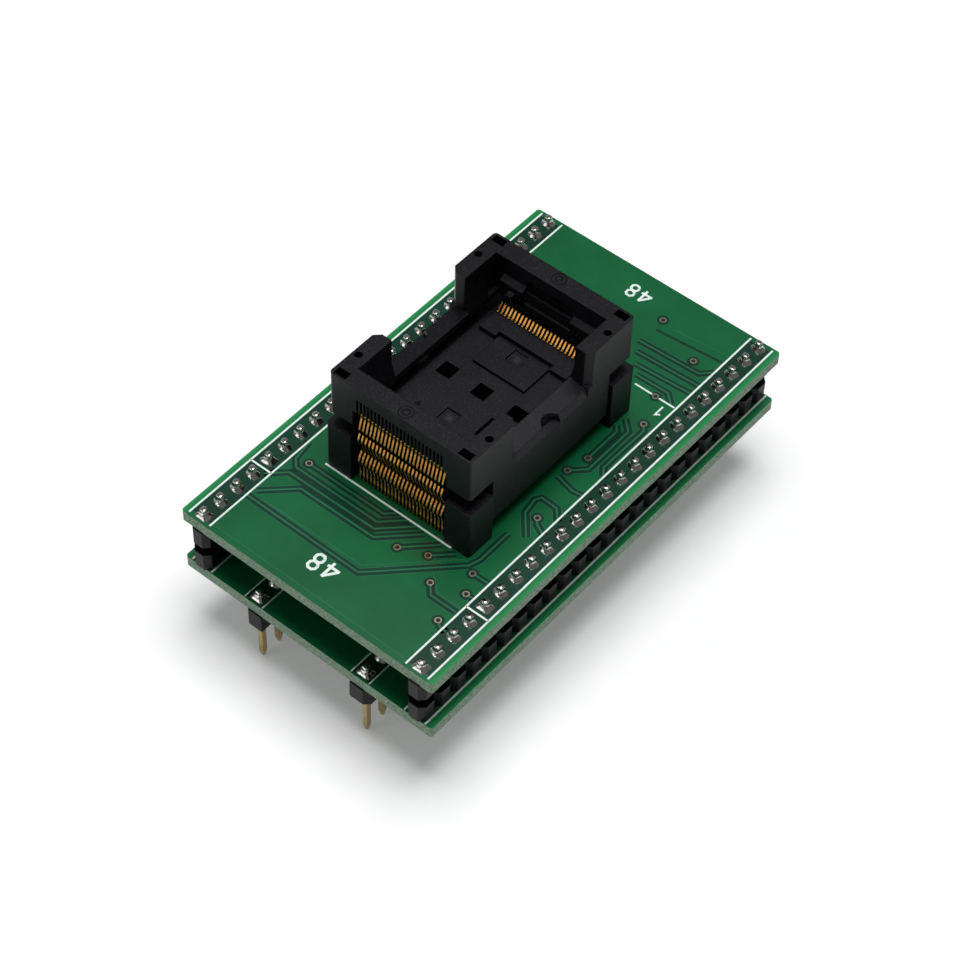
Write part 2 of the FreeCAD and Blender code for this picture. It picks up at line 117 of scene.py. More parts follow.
def add(tree, kind, settings, inputs, output=0):
    """Add a node, set it up, feed it, and give back one of its outputs."""
    item = tree.nodes.new("ShaderNode" + kind)
    for name, value in settings.items():
        if name != "stops":
            setattr(item, name, value)
            continue
        points = item.color_ramp.elements
        while len(points) < len(value):
            points.new(0.5)
        for point, (place, code) in zip(points, value):
            point.position = place
            point.color = srgb(code)
    feed(tree, item, inputs)
    return item.outputs[output]


def new_material(name):
    """A material, its tree, its main shader, and the place on the object in metres."""
    material = bpy.data.materials.new(name)
    material.use_nodes = True
    tree = material.node_tree
    return material, tree, tree.nodes["Principled BSDF"], add(tree, "TexCoord", {}, {}, "Object")


print("node helpers ready")

# %% [markdown]
# Solder mask is green lacquer, and the woven glass below it shows through as a faint grid. A
# picture of a board could be wrapped round the model, but patterns worked out from real sizes
# stay sharp in every view. Light that enters the cut edges glows through the resin, so the mask
# is painted brighter along the long sides: a painted glow.

# %% Solder mask seen from above
# Lacquer flows unevenly, in patches a few millimetres wide.
BLOTCH = 6.0
# Real glass threads lie half a millimetre apart. They are drawn coarser, so that they show.
WEAVE = 0.9
WEAVE_SHARE = 0.25
# Painted glow: the mask turns a lighter green near the long edges, for light through the resin.
EDGE_LIGHT_PAINT_DEPTH = 1.1
EDGE_LIGHT_PAINT_SHARE = 0.75
EDGE_LIGHT_PAINT_TONE = "2c9a58"


def mask_colour(tree, spot, light, dark):
    """Green lacquer between two tones, with a painted glow towards the long edges."""
    blotch = {"Scale": 1 / (BLOTCH * MM), "Detail": 3.0}
    blotches = add(tree, "TexNoise", {}, {"Vector": spot, **blotch})
    mask = add(tree, "ValToRGB", {"stops": [(0.3, dark), (0.7, light)]}, {"Fac": blotches})
    threads = {"Color1": srgb("ffffff"), "Color2": srgb("f0f0f0"), "Mortar": srgb("d8d8d8")}
    weave = add(tree, "TexBrick", {}, {"Vector": spot, "Scale": 1 / (WEAVE * MM), **threads})
    multiply = {"blend_type": "MULTIPLY"}
    woven = add(tree, "MixRGB", multiply, {"Fac": WEAVE_SHARE, "Color1": mask, "Color2": weave})
    across = add(tree, "SeparateXYZ", {}, {"Vector": spot}, "X")
    from_middle = add(tree, "Math", {"operation": "ABSOLUTE"}, {0: across})
    reach = {"From Min": (BOARD_X - EDGE_LIGHT_PAINT_DEPTH) * MM, "From Max": BOARD_X * MM}
    glow = add(tree, "MapRange", {}, {"Value": from_middle, "To Max": EDGE_LIGHT_PAINT_SHARE, **reach})
    return add(tree, "MixRGB", {}, {"Fac": glow, "Color1": woven, "Color2": srgb(EDGE_LIGHT_PAINT_TONE)})


print("mask glows within %.1f mm of the long edges" % EDGE_LIGHT_PAINT_DEPTH)

# %% [markdown]
# The router that cuts out a board lays bare its edge: layers of glass cloth in pale grey-green
# resin. The edges could be pieces of their own, but stripes stacked in height and broken up by
# noise give that look within the board's material.

# %% Cut edges of the laminate
# A real layer of cloth is under 0.2 mm thick and its fibres are far finer. Both are drawn
# coarser, so that they show.
GLASS_LAYER = 0.3
FIBRE = 0.25
LAYER_SHARE = 0.12
EDGE_TONES = [(0.3, "4c6c50"), (0.55, "7f9a80"), (0.8, "aabfa6")]


def laminate_colour(tree, spot):
    """The layered colour of a cut edge, and the fibre pattern for its relief."""
    height = add(tree, "SeparateXYZ", {}, {"Vector": spot}, "Z")
    wave = 2 * math.pi / (GLASS_LAYER * MM)
    turns = add(tree, "Math", {"operation": "MULTIPLY"}, {0: height, 1: wave})
    layers = add(tree, "Math", {"operation": "SINE"}, {0: turns})
    fibres = add(tree, "TexNoise", {}, {"Vector": spot, "Scale": 1 / (FIBRE * MM), "Detail": 5.0})
    striped = {0: layers, 1: LAYER_SHARE, 2: fibres}
    mixed = add(tree, "Math", {"operation": "MULTIPLY_ADD"}, striped)
    return add(tree, "ValToRGB", {"stops": EDGE_TONES}, {"Fac": mixed}), fibres


print("edge drawn in layers of %.1f mm" % GLASS_LAYER)

# %% [markdown]
# A board is one solid with both looks, so one material carries them: where a face points
# sideways it shows the laminate, elsewhere the mask. Mask over copper is lighter and mask over
# bare laminate darker, so one function makes each of them from its own pair of colours.

# %% The board materials
EPOXY_IOR = 1.52
MASK_ROUGH = 0.27
EDGE_ROUGH = 0.72
FIBRE_DEPTH = 0.01


def board_material(name, light, dark):
    material, tree, shader, spot = new_material(name)
    top = mask_colour(tree, spot, light, dark)
    laminate, fibres = laminate_colour(tree, spot)
    normal = add(tree, "NewGeometry", {}, {}, "Normal")
    upward = add(tree, "SeparateXYZ", {}, {"Vector": normal}, "Z")
    level = add(tree, "Math", {"operation": "ABSOLUTE"}, {0: upward})
    cut_face = add(tree, "Math", {"operation": "LESS_THAN"}, {0: level, 1: 0.5})
    colour = add(tree, "MixRGB", {}, {"Fac": cut_face, "Color1": top, "Color2": laminate})
    roughness = {0: cut_face, 1: EDGE_ROUGH - MASK_ROUGH, 2: MASK_ROUGH}
    rough = add(tree, "Math", {"operation": "MULTIPLY_ADD"}, roughness)
    depth = {"Distance": FIBRE_DEPTH * MM, "Strength": 0.35}
    relief = add(tree, "Bump", {}, {"Height": fibres, **depth})
    feed(tree, shader, {"Base Color": colour, "Roughness": rough, "Normal": relief})
    feed(tree, shader, {"IOR": EPOXY_IOR})
    return material


# Green solder mask on copper pour, over FR-4 glass-epoxy laminate: an even, glossy green.
MASK_POUR = board_material("solder_mask_on_copper_fr4_laminate", "08663a", "055a31")
# The same mask where the copper is etched away: darker, since the laminate lets light sink in.
MASK_BARE = board_material("solder_mask_on_bare_fr4_laminate", "043c2c", "023123")
# The same mask over copper: paler from the copper beneath, and painted paler still as a
# highlight where a raised track, its rim or the edge of the pour catches the light.
MASK_COPPER_HIGHLIGHT = board_material("solder_mask_on_copper_with_painted_highlight", "27774f", "1f6946")
print("boards: three mask tones")

# %% [markdown]
# The pins that push a moulding out of its mould leave thin circles on the socket's lid. Cutting
# them would need a very fine mesh, so they are drawn in the lid's material, by the distance from
# the nearest centre. They are painted shade: near black and without sheen, as the shade in their
# thin grooves.

# %% Circles left by ejector pins
# Each circle's radius and half its line's width.
CIRCLES = ((0.4, 0.1), (0.82, 0.08))
FAR_AWAY = 1.0


def ejector_circles(tree, spot, centres):
    """White on two thin circles round each centre, black elsewhere."""
    across = add(tree, "SeparateXYZ", {}, {"Vector": spot}, "X")
    along = add(tree, "SeparateXYZ", {}, {"Vector": spot}, "Y")
    flat = add(tree, "CombineXYZ", {}, {"X": across, "Y": along})
    nearest = FAR_AWAY
    for x, y in centres:
        centre = (x * MM, y * MM, 0.0)
        away = add(tree, "VectorMath", {"operation": "DISTANCE"}, {0: flat, 1: centre}, "Value")
        millimetres = add(tree, "Math", {"operation": "DIVIDE"}, {0: away, 1: MM})
        nearest = add(tree, "Math", {"operation": "MINIMUM"}, {0: millimetres, 1: nearest})
    stops = []
    for radius, half in CIRCLES:
        stops += [(radius - half, "000000"), (radius, "ffffff"), (radius + half, "000000")]
    return add(tree, "ValToRGB", {"stops": stops}, {"Fac": nearest})


print("circle radii in mm:", [radius for radius, half in CIRCLES])

# %% [markdown]
# Moulded plastic filled with glass fibre is matt and faintly speckled. A painted image could
# carry the specks, but noise at the size of the real grain looks right from every side. Its
# corners are never quite sharp, so the shader rounds the light on them.

# %% Moulded plastic
# Handling leaves patches about this wide.
CLOUD = 3.0
CORNER = 0.13
PLASTIC_IOR = 1.53
PIT_TONE = "040405"
# Painted shade in the circles' thin grooves: near black, with almost no sheen.
GROOVE_SHADE_TONE = "010101"
GROOVE_SHADE_SHEEN = 0.02


def plastic(name, base, speck, grain_mm, rough, relief_mm, sheen, centres=()):
    material, tree, shader, spot = new_material(name)
    grains = {"Scale": 1 / (grain_mm * MM), "Detail": 6.0, "Roughness": 0.65}
    grain = add(tree, "TexNoise", {}, {"Vector": spot, **grains})
    cloud = add(tree, "TexNoise", {}, {"Vector": spot, "Scale": 1 / (CLOUD * MM), "Detail": 3.0})
    stops = [(0.34, PIT_TONE), (0.48, base), (0.54, base), (0.68, speck)]
    colour = add(tree, "ValToRGB", {"stops": stops}, {"Fac": grain})
    if centres:
        lines = ejector_circles(tree, spot, centres)
        groove_shade = {"Fac": lines, "Color1": colour, "Color2": srgb(GROOVE_SHADE_TONE)}
        colour = add(tree, "MixRGB", {}, groove_shade)
        dulled = {"Value": lines, "To Min": sheen, "To Max": GROOVE_SHADE_SHEEN}
        sheen = add(tree, "MapRange", {}, dulled)
    soften = {"blend_type": "SOFT_LIGHT"}
    worn = add(tree, "MixRGB", soften, {"Fac": 0.25, "Color1": colour, "Color2": cloud})
    spread = {"To Min": rough - 0.06, "To Max": rough + 0.06}
    gloss = add(tree, "MapRange", {}, {"Value": cloud, **spread})
    rounded_corners = add(tree, "Bevel", {"samples": 6}, {"Radius": CORNER * MM})
    depth = {"Distance": relief_mm * MM, "Strength": 0.6}
    relief = add(tree, "Bump", {}, {"Height": grain, "Normal": rounded_corners, **depth})
    feed(tree, shader, {"Base Color": worn, "Roughness": gloss, "Normal": relief})
    feed(tree, shader, {"IOR": PLASTIC_IOR, "Specular IOR Level": sheen})
    return material


print("plastic corners rounded by %.2f mm" % CORNER)

# %% [markdown]
# The strips are black nylon, nearly smooth, and the socket is a stiffer plastic, charcoal with a
# violet cast. Both could share one black, but side by side on the real part they differ. Their
# skins are so finely pitted that they give back little of the sheen of a smooth surface.

# %% The plastics
CIRCLE_X = 0.1
CIRCLE_Y = 12.6
# Black glass-filled nylon of the pin and socket strips: dark, with a soft gloss.
STRIP_BLACK = plastic("moulded_black_nylon", "07070a", "101014", 0.25, 0.4, 0.004, 0.14)
# Charcoal glass-filled socket moulding: matt, with pale fibre specks.
GREY = ("09080e", "2a2633", 0.22, 0.45, 0.014, 0.23)
SOCKET_GREY = plastic("moulded_charcoal_glass_filled_pes", *GREY)
# The lid, of the same plastic, with the circles of its ejector pins in painted shade.
lid_circles = [(SOCKET_X + CIRCLE_X, SOCKET_Y + end * CIRCLE_Y) for end in (-1, 1)]
LID_GREY = plastic("moulded_charcoal_ejector_circles_painted_shade", *GREY, lid_circles)
# The same moulding painted darker, as the shade in narrow gaps where little light gets in.
SOCKET_PAINTED_SHADE = plastic("moulded_charcoal_painted_shade", "040405", "08080a", 0.16, 0.6, 0.004, 0.1)
# The same moulding, smoothed by the end of an ejector pin: glossier, and painted a little
# brighter as its sheen.
SOCKET_EJECTOR_SHEEN = plastic("moulded_charcoal_ejector_painted_sheen", "26252a", "36343b", 0.16, 0.4, 0.01, 0.35)
print("plastics: strip black, four charcoals")

# %% [markdown]
# A contact is stamped from plated strip, so its cut sides are bare and dull, and its arm inside
# the socket lies in shade. Both are painted dark brown: the cut sides for their bare metal and as
# painted shade between the contacts, the arm as painted shade. Each could be a mesh of its own,
# but the place and the direction of a face tell them apart. The contact's outer face leans
# inwards as it rises, and all that lies behind that face is out of sight and painted as shade.

# %% Bare sides and painted shade of a contact
LEAN = 0.284
LEAN_START = 15.7
TIP_END = 10.5
ARM_HEIGHT = 7.7


def bare_cuts_and_painted_shade(tree, spot):
    """White where a contact is painted in shade: its bare cut sides and its arm in the socket."""
    normal = add(tree, "NewGeometry", {}, {}, "Normal")
    sideways = add(tree, "SeparateXYZ", {}, {"Vector": normal}, "X")
    cut = add(tree, "Math", {"operation": "ABSOLUTE"}, {0: sideways})
    y = add(tree, "SeparateXYZ", {}, {"Vector": spot}, "Y")
    z = add(tree, "SeparateXYZ", {}, {"Vector": spot}, "Z")
    centred = add(tree, "Math", {"operation": "SUBTRACT"}, {0: y, 1: SOCKET_Y * MM})
    along = add(tree, "Math", {"operation": "ABSOLUTE"}, {0: centred})
    past_tip = add(tree, "Math", {"operation": "GREATER_THAN"}, {0: along, 1: TIP_END * MM})
    arm = (UPPER_TOP + ARM_HEIGHT) * MM
    above_bend = add(tree, "Math", {"operation": "GREATER_THAN"}, {0: z, 1: arm})
    lean = add(tree, "Math", {"operation": "MULTIPLY_ADD"}, {0: z, 1: LEAN, 2: along})
    outer = (LEAN_START + LEAN * UPPER_TOP) * MM
    behind = add(tree, "Math", {"operation": "LESS_THAN"}, {0: lean, 1: outer})
    inside = add(tree, "Math", {"operation": "MULTIPLY"}, {0: past_tip, 1: above_bend})
    inside = add(tree, "Math", {"operation": "MULTIPLY"}, {0: inside, 1: behind})
    return add(tree, "Math", {"operation": "MAXIMUM"}, {0: cut, 1: inside})


print("contacts lean by %.0f degrees" % math.degrees(math.atan(LEAN)))

# %% [markdown]
# Gold is plated over copper alloy on the contacts, thinner on the square pins. Solder is a
# bright tin alloy that froze with faint ripples. All are metals, so their colour is in the
# reflection, and one function with small differences in roughness can make them all. The grain
# of plating and wire is too fine to see and is drawn coarser, as soft patches.

# %% Metals


def metal(name, light, dark, rough, grain_mm, relief_mm, bare_and_shaded=None):
    """A metal; bare_and_shaded is the painted shade on a contact's bare cut sides and inner arm."""
    material, tree, shader, spot = new_material(name)
    grain = add(tree, "TexNoise", {}, {"Vector": spot, "Scale": 1 / (grain_mm * MM), "Detail": 4.0})
    colour = add(tree, "ValToRGB", {"stops": [(0.3, dark), (0.7, light)]}, {"Fac": grain})
    if bare_and_shaded:
        shade = bare_cuts_and_painted_shade(tree, spot)
        dulled = {"Fac": shade, "Color1": colour, "Color2": srgb(bare_and_shaded)}
        colour = add(tree, "MixRGB", {}, dulled)
    spread = {"To Min": rough - 0.05, "To Max": rough + 0.07}
    gloss = add(tree, "MapRange", {}, {"Value": grain, **spread})
    depth = {"Distance": relief_mm * MM, "Strength": 0.5}
    relief = add(tree, "Bump", {}, {"Height": grain, **depth})
    feed(tree, shader, {"Base Color": colour, "Metallic": 1.0, "Roughness": gloss})
    feed(tree, shader, {"Normal": relief})
    return material


# Gold plate over stamped copper alloy: warm and bright on its broad faces, and painted dark
# brown as shade on its bare cut sides and its inner arm.
CONTACT_GOLD = metal("gold_plate_on_copper_alloy", "dfa354", "cd9146", 0.25, 0.5, 0.003, "140b05")
# Thin gold flash over drawn brass wire: paler and greyer than the contacts.
PIN_GOLD = metal("gold_flash_on_brass_wire", "b9a674", "a7935f", 0.3, 1.2, 0.004)
# Tin solder, frozen bright from the bath, with small ripples.
SOLDER = metal("bright_tin_solder", "e9e7e2", "c9c6c0", 0.14, 0.5, 0.03)
# Tinned copper rings round the small plated holes: a dull cream.
TINNED = metal("tinned_copper_ring", "cdc7ae", "b0a684", 0.3, 0.3, 0.004)
print("metals: contacts, pins, solder, rings")

# %% [markdown]
# The white print is thick epoxy ink, slightly uneven where it crosses the mask's relief. The
# bore of each small plated hole is simply dark, because light that enters it hardly returns. A
# real hole would be lost at this size, so it is a disc of painted shade, with its own material.

# %% Ink and hole darkness
COATING_IOR = 1.5


def coating(name, light, dark, rough, patch_mm):
    material, tree, shader, spot = new_material(name)
    patch = {"Scale": 1 / (patch_mm * MM), "Detail": 4.0}
    patches = add(tree, "TexNoise", {}, {"Vector": spot, **patch})
    colour = add(tree, "ValToRGB", {"stops": [(0.35, dark), (0.6, light)]}, {"Fac": patches})
    relief = add(tree, "Bump", {}, {"Height": patches, "Distance": 0.006 * MM, "Strength": 0.5})
    feed(tree, shader, {"Base Color": colour, "Roughness": rough, "Normal": relief})
    feed(tree, shader, {"IOR": COATING_IOR})
    return material


# White epoxy legend ink, screened on and cured: matt, with a breath of mint from the mask.
SILK = coating("white_legend_ink", "f2fbf6", "dcefe6", 0.5, 0.7)
# Painted shade for the unlit bore of a plated hole: nearly black.
HOLE_PAINTED_SHADE = coating("painted_shade_of_plated_bore", "0a0b0a", "050505", 0.7, 0.3)
print("coatings: ink and bores")

# %% [markdown]
# Each CAD node is one kind of part made of one material. The finishes could be given one by one,
# but the beginning of a node's name already says which one it needs.

# %% Give the CAD nodes their finishes
finishes = {
    "upper_board": MASK_POUR,
    "lower_board": MASK_POUR,
    "socket_base": SOCKET_GREY,
    "socket_lid": LID_GREY,
    "device_plate": SOCKET_GREY,
    "contacts": CONTACT_GOLD,
    "header_pins": PIN_GOLD,
    "dip_pins": PIN_GOLD,
    "socket_posts": PIN_GOLD,
    "pin_header": STRIP_BLACK,
    "socket_strip": STRIP_BLACK,
    "dip_header": STRIP_BLACK,
}
for name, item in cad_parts.items():
    kind = next(key for key in finishes if name.startswith(key))
    item.data.materials.clear()
    item.data.materials.append(finishes[kind])
    for polygon in item.data.polygons:
        polygon.use_smooth = False
print("finished", len(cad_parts), "CAD nodes")

# %% [markdown]
# The thin things are flat or turned shapes raised by a few hundredths of a millimetre. Hundreds
# of separate objects would be slow to handle, so a builder gathers many such shapes in one
# mesh, and a whole layer of print or copper is one piece. Every shape is a skin over a stack of
# rings of points.

# %% A builder of thin shapes
SHARP = math.radians(50)


class Layer:
    """Gathers shapes given in millimetres and makes them one piece."""

    def __init__(self):
        self.points = []
        self.faces = []

    def rings(self, rings, closed_ends=True):
        """Skin a stack of equally long rings of points."""
        count = len(rings[0])
        start = len(self.points)
        self.points += [point for ring in rings for point in ring]
        end = len(self.points)
        for a in range(start, end - count, count):
            for index in range(count):
                after = (index + 1) % count
                self.faces.append([a + index, a + after, a + count + after, a + count + index])
        if closed_ends:
            self.faces.append(list(range(start, start + count))[::-1])
            self.faces.append(list(range(end - count, end)))

    def piece(self, name, material, body, smooth=False):
        mesh = bpy.data.meshes.new(name)
        mesh.from_pydata([[v * MM for v in point] for point in self.points], [], self.faces)
        mesh.materials.append(material)
        item = bpy.data.objects.new(name, mesh)
        bpy.context.scene.collection.objects.link(item)
        for polygon in mesh.polygons:
            polygon.use_smooth = smooth
        if smooth:
            mesh.set_sharp_from_angle(angle=SHARP)
        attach(item, body)
        print(name, "faces:", len(mesh.polygons))
        return item


print("layer builder ready")

# %% [markdown]
# Tracks, gaps and printed lines are all strips of even width that follow a bent path. Blender's
# curves could draw them, but their corners would be pinched, so each strip is skinned over
# sections that stand square to the path and are widened at the bends.

# %% Flat strips


def ribbon(layer, path, width, z, thickness):
    """A flat strip along a bent path, its corners mitred."""
    sections = []
    for index, (x, y) in enumerate(path):
        before = Vector(path[max(index - 1, 0)])
        after = Vector(path[min(index + 1, len(path) - 1)])
        here = Vector((x, y))
        into = (here - before).normalized() if index else (after - here).normalized()
        out = (after - here).normalized() if index < len(path) - 1 else into
        along = (into + out).normalized()
        across = Vector((-along.y, along.x))
        reach = width / 2 / max(along.dot(into), 0.5)
        left, right = here + across * reach, here - across * reach
        corners = [(left, z), (left, z + thickness), (right, z + thickness), (right, z)]
        sections.append([(spot.x, spot.y, height) for spot, height in corners])
    layer.rings(sections)


print("strips ready")

# %% [markdown]
# The tracks lead from the pins to the socket's feet. They could be traced line by line, but a
# few points each, listed at their bends, give much the same look. The first and last points
# lie where a track dives under the socket, ends in a plated hole or meets a pin row.

# %% Where the tracks run
tracks = [
    [(-11.6, -16.6), (-0.9, -16.6), (0.4, -15.3)],
    [(-13.6, -14.4), (-13.2, -17.0), (-12.3, -17.9), (-0.7, -17.9), (1.7, -15.5)],
    [(-14.3, -20.8), (-12.4, -18.9), (-0.3, -18.8), (3.0, -15.5)],
    [(-13.3, -23.1), (-9.9, -19.8), (0.4, -19.7), (4.2, -15.9)],
    [(-14.0, -24.2), (2.3, -24.3), (10.5, -16.0), (10.9, -14.6), (10.9, -10.0)],
    [(3.2, -19.1), (6.5, -15.8)],
    [(6.4, -17.8), (8.5, -15.7)],
    [(8.9, -20.4), (10.0, -21.6), (13.4, -21.6)],
    [(12.7, -19.1), (13.6, -19.1)],
    [(12.7, -23.6), (13.3, -24.1), (14.2, -24.2)],
    [(11.5, -16.6), (13.6, -16.5)],
    [(10.2, 1.0), (11.8, 2.6), (11.8, 9.7), (10.4, 11.0)],
    [(10.8, 3.8), (10.8, 8.9), (10.2, 9.6)],
    [(12.4, 11.7), (13.0, 10.9), (12.9, 3.9), (13.6, 2.9)],
    [(4.3, 21.3), (12.5, 21.7), (13.7, 23.0)],
    [(5.1, 19.8), (13.8, 20.2)],
    [(6.1, 18.2), (13.7, 18.7)],
    [(7.2, 17.0), (11.6, 17.1), (12.9, 16.0)],
    [(11.9, -6.3), (12.4, -7.0), (13.8, -7.7)],
    [(12.6, -9.1), (10.4, -6.5), (10.1, -4.5), (10.5, -3.8), (12.6, -3.9), (13.8, -5.2)],
    [(9.9, -0.3), (12.3, -0.9), (13.8, -0.7)],
    [(-10.6, 2.0), (-12.0, 3.4), (-12.0, 9.6), (-13.8, 11.4)],
    [(-10.6, -6.0), (-12.2, -7.6), (-13.8, -7.6)],
    [(-3.0, 14.6), (-6.2, 17.8), (-13.8, 17.8)],
]
# Painted highlights on the copper pour's edges, away from any track, and one bare slit in it.
pour_edge_highlights = [
    [(-12.0, -23.6), (2.0, -23.4), (9.7, -15.6)],
    [(8.2, -19.1), (10.3, -20.9), (13.5, -20.9)],
    [(-13.2, -29.55), (13.2, -29.55)],
    [(6.3, 25.2), (14.0, 26.0)],
]
slit = [(4.8, 23.9), (13.8, 24.8)]
print("tracks:", len(tracks), "pour edges:", len(pour_edge_highlights))

# %% [markdown]
# Copper under the mask shows as lighter green. Round every track the copper pour is etched back,
# which leaves a dark border whose rim catches the light. A colour picture of the artwork would
# be flat, so each track is built: a dark ribbon on a slightly wider one whose edges are a painted
# highlight of the rim, with a narrow light one on top, paler from its copper and from a painted
# highlight. The strips round the pin rows are dark as a whole. Real copper is 0.035 mm thick.

# %% Tracks on the upper board
COPPER = 0.035
RIM_LEVEL = 0.006
GAP_LEVEL = 0.012
GAP_WIDTH = 0.95
RIM_WIDTH = 1.08
TRACK_WIDTH = 0.2
POUR_HIGHLIGHT_WIDTH = 0.1
SLIT_WIDTH = 0.35
ROW_GAP = 2.8
ROW_END = 0.7
# Painted highlights: the wider ribbons' showing edges and the lines along the pour's edges.
gaps = Layer()
rim_highlights = Layer()
copper = Layer()
for x in (-HEADER_X, HEADER_X):
    ends = [(x, -BOARD_Y + ROW_END), (x, BOARD_Y - ROW_END)]
    ribbon(gaps, ends, ROW_GAP, UPPER_TOP, GAP_LEVEL)
for path in tracks:
    ribbon(gaps, path, GAP_WIDTH, UPPER_TOP, GAP_LEVEL)
    ribbon(rim_highlights, path, RIM_WIDTH, UPPER_TOP, RIM_LEVEL)
    ribbon(copper, path, TRACK_WIDTH, UPPER_TOP, COPPER)
for path in pour_edge_highlights:
    ribbon(copper, path, POUR_HIGHLIGHT_WIDTH, UPPER_TOP, COPPER)
ribbon(gaps, slit, SLIT_WIDTH, UPPER_TOP, GAP_LEVEL)
rim_highlights.piece("upper_pour_rim_highlights", MASK_COPPER_HIGHLIGHT, "upper_module")
gaps.piece("upper_mask_gaps", MASK_BARE, "upper_module")
copper.piece("upper_tracks", MASK_COPPER_HIGHLIGHT, "upper_module")

# %% [markdown]
# Discs, rings and solder are round. Blender's cylinders and cones could serve, but some pads are
# rectangles that turn round as the solder climbs, so one function makes every ring an oval or a
# rounded box from its power.

# %% Turned shapes


def turned(layer, x, y, profile, sides=28):
    """Rings of half widths (a, b) at a height, each an ellipse or, above 2, squarer."""
    rings = []
    for a, b, height, power in profile:
        ring = []
        for index in range(sides):
            angle = 2 * math.pi * index / sides
            c, s = math.cos(angle), math.sin(angle)
            stretch = (abs(c) ** power + abs(s) ** power) ** (-1 / power)
            ring.append((x + a * c * stretch, y + b * s * stretch, height))
        rings.append(ring)
    layer.rings(rings)


def disc(layer, x, y, z, radius, thickness, sides=24):
    turned(layer, x, y, [(radius, radius, h, 2.0) for h in (z, z + thickness)], sides)


print("turned shapes ready")

# %% [markdown]
# Each via is a plated hole 0.4 mm across, ringed by tinned copper, that takes a track through
# the board. Drilling the board's mesh would make it heavy for a dot of two pixels, so a disc of
# painted shade inside a ring reads as the hole. Each disc is a little thicker than the one below.

# %% Vias
# Radius and thickness of each disc.
HALO = (0.72, 0.018)
RING = (0.4, 0.05)
BORE = (0.25, 0.055)
vias = [
    (-11.6, -16.6),
    (3.2, -19.1),
    (6.4, -17.8),
    (8.9, -20.4),
    (12.7, -23.6),
    (12.7, -19.1),
    (11.5, -16.6),
    (11.9, -6.3),
    (10.2, 1.0),
    (10.8, 3.8),
    (12.4, 11.7),
    (10.9, 15.8),
    (10.9, 22.8),
    (4.5, 25.6),
    (-12.0, 6.2),
    (-11.8, 20.6),
]
halos = Layer()
ring_layer = Layer()
bores = Layer()
for x, y in vias:
    for layer, size in ((halos, HALO), (ring_layer, RING), (bores, BORE)):
        disc(layer, x, y, UPPER_TOP, *size)
halos.piece("via_halos", MASK_BARE, "upper_module")
ring_layer.piece("via_rings", TINNED, "upper_module")
bores.piece("via_bores", HOLE_PAINTED_SHADE, "upper_module")

# %% [markdown]
# White lines frame each pin row, a cross line lies before the fifth pin, and more lines show
# where the socket goes. They could be one flat picture, but ribbons of ink keep their thickness
# in a close view and cost next to nothing.

# %% Lines on the upper board
INK = 0.05
LINE = 0.22
ROW_HALF = 1.5
LINE_END = 0.35
FRAME_X = 10.15
FRAME_Y = 14.05
FRAME_SHORT = 2.5
CROSS_Y = pin_rows[3] + PITCH / 2
# The line from the socket to the digit 1 is broken by a via.
lines = [[(8.0, 15.8), (10.4, 15.8)], [(11.4, 15.8), (13.5, 15.8)]]
for sign in (-1, 1):
    left, right = sign * HEADER_X - ROW_HALF, sign * HEADER_X + ROW_HALF
    for x in (left, right):
        lines.append([(x, -BOARD_Y + LINE_END), (x, BOARD_Y - LINE_END)])
    lines.append([(left, CROSS_Y), (right, CROSS_Y)])
    y = SOCKET_Y + sign * FRAME_Y
    lines.append([(SOCKET_X - FRAME_X, y), (SOCKET_X + FRAME_X - FRAME_SHORT, y)])
ink = Layer()
for line in lines:
    ribbon(ink, line, LINE, UPPER_TOP, INK)
print("lines on the upper board:", len(lines))

# %% [markdown]
# The printed digits only count the pins. Blender's text objects would need a font, so each digit
# is drawn with the same ribbons as the lines, as a pen plotter would draw it. They read from the
# far side, and each stroke lies a little higher than the one it crosses.

# %% Digits
LOOP = [(0.06, 0.67), (0.06, 0.87), (0.19, 1.0), (0.41, 1.0), (0.54, 0.87), (0.54, 0.67)]
LOOP += [(0.41, 0.54), (0.19, 0.54), (0.06, 0.67)]
STROKES = {
    "1": [[(0.05, 0.75), (0.35, 1.0), (0.35, 0.0)]],
    "4": [[(0.5, 0.0), (0.5, 1.0)], [(0.5, 1.0), (0.0, 0.3)], [(-0.05, 0.3), (0.7, 0.3)]],
    "8": [LOOP, [(a, 1.04 * (b - 0.54) + 0.02) for a, b in LOOP]],
}
ADVANCE = 0.95
CROSSING = 0.006


def number(layer, digits, x, y, tall, width):
    """Plain digits as strokes of ink."""
    for index, digit in enumerate(digits):
        start = x - index * tall * ADVANCE
        for level, stroke in enumerate(STROKES[digit]):
            path = [(start - a * tall, y - b * tall) for a, b in stroke]
            ribbon(layer, path, width, UPPER_TOP, INK + level * CROSSING)


number(ink, "48", 0.8, -25.0, 2.2, 0.34)
number(ink, "48", 1.4, 28.0, 1.9, 0.3)
number(ink, "1", 13.0, 15.1, 1.5, 0.22)
ink.piece("upper_print", SILK, "upper_module")

# %% [markdown]
# The lower board has the same kind of lines beside its four rows, and bare mask under the inner
# two. Only slivers of it show between the boards. It could stay plain, but the white slivers are
# easy to see, so it is drawn with the same ribbons.

